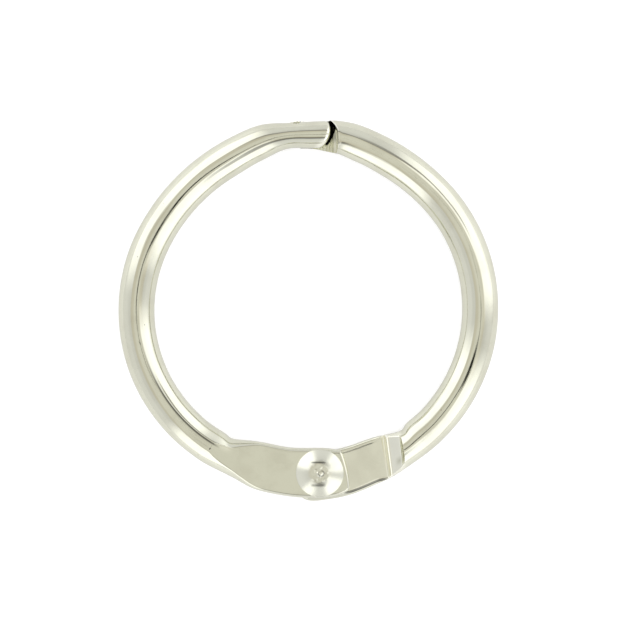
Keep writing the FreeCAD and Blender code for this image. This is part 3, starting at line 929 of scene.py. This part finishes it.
def studio_world():
    """A white tent with an opening overhead, its dark rim, a patch, a lens and four soft boxes."""
    world = bpy.data.worlds.new("tent")
    bpy.context.scene.world = world
    world.use_nodes = True
    tree = world.node_tree
    way = node(tree, "ShaderNodeTexCoord").outputs["Generated"]
    parts = node(tree, "ShaderNodeSeparateXYZ")
    tree.links.new(way, parts.inputs[0])
    x, y, z = parts.outputs
    tilt = calc(tree, "DEGREES", calc(tree, "ARCCOSINE", calc(tree, "MINIMUM", z, 1.0)))
    flat = calc(tree, "MAXIMUM", calc(tree, "SQRT", calc(tree, "SUBTRACT", 1.0, calc(
        tree, "MULTIPLY", z, z))), 0.0001)
    side = calc(tree, "DIVIDE", x, flat)
    front = calc(tree, "DIVIDE", y, flat)

    opening = fade(tree, tilt, *OPENING_END, 1.0, 0.0)
    light = fade(tree, tilt, *TENT_TILTS, TENT_HIGH, TENT_LOW)
    light = calc(tree, "MULTIPLY", light, calc(tree, "SUBTRACT", 1.0, opening))
    overhead = fade(tree, tilt, *OPENING_TILTS, OPENING_MIDDLE, OPENING_EDGE)
    light = calc(tree, "ADD", light, calc(tree, "MULTIPLY", opening, overhead))
    rim = calc(tree, "MULTIPLY", fade(tree, tilt, *RIM_START), fade(tree, tilt, *RIM_END, 1.0, 0.0))
    rim = calc(tree, "MULTIPLY", rim, toward(tree, side, front, *RIM_SIDE))
    light = darken(tree, light, calc(tree, "MULTIPLY", rim, RIM_DARK))
    boxes = 0.0
    for azimuth, full, gone, start in SOFT_BOXES:
        box = toward(tree, side, front, azimuth, full, gone)
        box = calc(tree, "MULTIPLY", box, fade(tree, tilt, start - SOFT_BOX_EDGE, start + SOFT_BOX_EDGE))
        box = calc(tree, "MULTIPLY", box, fade(tree, tilt, *SOFT_BOX_END, 1.0, 0.0))
        boxes = calc(tree, "ADD", darken(tree, box, rim), boxes)
    light = calc(tree, "MULTIPLY_ADD", boxes, SOFT_BOX_LIGHT, light)

    patch = calc(
        tree, "MULTIPLY", fade(tree, tilt, *PATCH_START), fade(tree, tilt, *PATCH_END, 1.0, 0.0))
    patch = calc(tree, "MULTIPLY", patch, toward(tree, side, front, *PATCH_SIDE))
    c = math.cos(math.radians(LENS_AZIMUTH))
    sn = math.sin(math.radians(LENS_AZIMUTH))
    reach = calc(tree, "MULTIPLY_ADD", y, sn, calc(tree, "MULTIPLY", x, c))
    reach = calc(tree, "SUBTRACT", reach, math.sin(math.radians(LENS_TILT)))
    across = calc(tree, "MULTIPLY_ADD", y, c, calc(tree, "MULTIPLY", x, -sn))
    reach = calc(tree, "DIVIDE", reach, math.sin(math.radians(LENS_REACH)))
    across = calc(tree, "DIVIDE", across, math.sin(math.radians(LENS_ACROSS)))
    spread = calc(tree, "ADD", calc(tree, "MULTIPLY", reach, reach), calc(
        tree, "MULTIPLY", across, across))
    overhead_only = fade(tree, z, 0, 0.5)
    lens = calc(tree, "MULTIPLY", fade(tree, spread, *LENS_EDGE, 1.0, 0.0), overhead_only)
    light = darken(tree, light, calc(tree, "MULTIPLY", patch, PATCH_DARK))
    light = darken(tree, light, calc(tree, "MULTIPLY", lens, LENS_DARK))

    overhead_tone = node(tree, "ShaderNodeMix", data_type="RGBA")
    overhead_tone.inputs["A"].default_value = OPENING_TONES[0]
    overhead_tone.inputs["B"].default_value = OPENING_TONES[1]
    tree.links.new(fade(tree, tilt, *OPENING_TONE_TILTS), overhead_tone.inputs["Factor"])
    tone = node(tree, "ShaderNodeMix", data_type="RGBA")
    tone.inputs["A"].default_value = TENT_TONE
    tree.links.new(overhead_tone.outputs["Result"], tone.inputs["B"])
    tree.links.new(darken(tree, opening, calc(tree, "MINIMUM", boxes, 1.0)), tone.inputs["Factor"])
    background = tree.nodes["Background"]
    tree.links.new(tone.outputs["Result"], background.inputs["Color"])
    tree.links.new(light, background.inputs["Strength"])


def floor_light():
    """A wide soft light from above that brightens the floor, and doesn't show in the metal."""
    data = bpy.data.lights.new("floor_light", "AREA")
    data.shape = "DISK"
    data.size = FLOOR_LIGHT_SIZE
    data.energy = FLOOR_LIGHT_POWER
    light = bpy.data.objects.new("floor_light", data)
    light.location = (0, 0, FLOOR_LIGHT_HEIGHT)
    light.visible_glossy = False
    bpy.context.scene.collection.objects.link(light)


def table_top(name, material, drop):
    """A flat sheet, a little under the lowest point of the ring."""
    mesh = bmesh.new()
    bmesh.ops.create_grid(mesh, x_segments=1, y_segments=1, size=FLOOR_SIZE * MM / 2)
    data = bpy.data.meshes.new(name)
    mesh.to_mesh(data)
    mesh.free()
    data.materials.append(material)
    top = bpy.data.objects.new(name, data)
    top.location.z = cad_box[0].z - drop * MM
    bpy.context.scene.collection.objects.link(top)
    return top


def floors():
    """The overexposed white floor that the camera sees, and the plainer one that the metal mirrors."""
    white = matt_white("floor_white", white=0.6, glow=0.5, roughness=0.9)
    seen = table_top("floor", white, drop=0.02)
    seen.visible_glossy = False
    seen.visible_diffuse = False
    seen.visible_shadow = False
    plain = matt_white("floor_grey", white=0.72, glow=0, roughness=0.3)
    mirrored = table_top("floor_mirrored", plain, drop=0.04)
    mirrored.visible_camera = False


def camera():
    """Straight above the ring, with a long lens."""
    data = bpy.data.cameras.new("camera")
    data.sensor_fit = "HORIZONTAL"
    data.sensor_width = SENSOR
    data.lens = SENSOR * CAMERA_DISTANCE / VIEW_WIDTH
    data.clip_start = 0.01
    data.clip_end = 20
    view = bpy.data.objects.new("camera", data)
    view.location = Vector((*VIEW_CENTRE, HINGE.z + CAMERA_DISTANCE)) * MM
    bpy.context.scene.collection.objects.link(view)
    bpy.context.scene.camera = view


# ---------------------------------------------------------------- the ring
camera()
studio_world()
floor_light()
floors()
bpy.context.scene.view_settings.view_transform = "Standard"

wire_plate = nickel(
    "nickel_wire", base=(0.71, 0.71, 0.59), dull=(0.66, 0.655, 0.54),
    roughness=(0.05, 0.11), stretch=(0.15, 16, 1))
rivet_plate = nickel(
    "nickel_rivet", base=(0.74, 0.74, 0.63), dull=(0.68, 0.68, 0.57),
    roughness=(0.18, 0.28), stretch=(0.4, 22, 1))

left = half_ring("left_half", LEFT, 1, wire_plate)
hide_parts("left_half_ring")
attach(left, "left_half")

right = half_ring("right_half", RIGHT, -1, wire_plate)
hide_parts("right_half_ring")
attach(right, "right_half")

pin = rivet("rivet", rivet_plate)
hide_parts("hinge_rivet")
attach(pin, "left_half")
